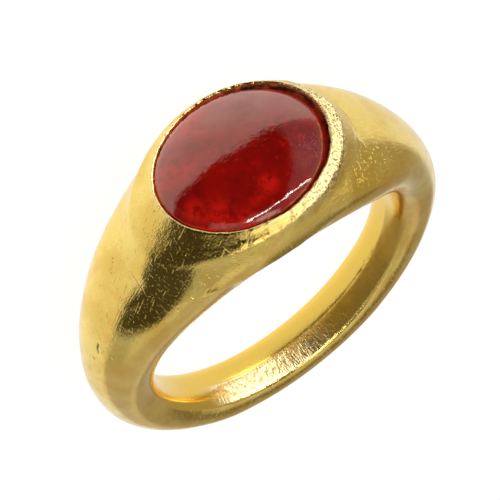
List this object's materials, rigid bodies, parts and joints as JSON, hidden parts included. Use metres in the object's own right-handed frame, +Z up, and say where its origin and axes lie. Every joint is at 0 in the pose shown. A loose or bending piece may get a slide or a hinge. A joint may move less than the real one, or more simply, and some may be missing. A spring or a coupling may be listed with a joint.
{
  "type": "finger ring with an oval cabochon garnet",
  "caption": "Heavy plain gold finger ring whose hoop swells into shoulders and a raised closed bezel with a smooth oval garnet.",
  "frame": {"origin": "on the surface that the ring lies on, under the middle of its box", "axes": "+Z up with the ring laid on its side, the stone facing -Y, +X along the hoop at the stone"},
  "size_m": [0.0236, 0.025, 0.0097],
  "materials": {
    "gold": "worn satin high-carat gold",
    "garnet": "polished dark red cabochon"
  },
  "bodies": {
    "root": {"hoop_and_bezel": "gold", "garnet": "garnet"}
  },
  "joints": []
}
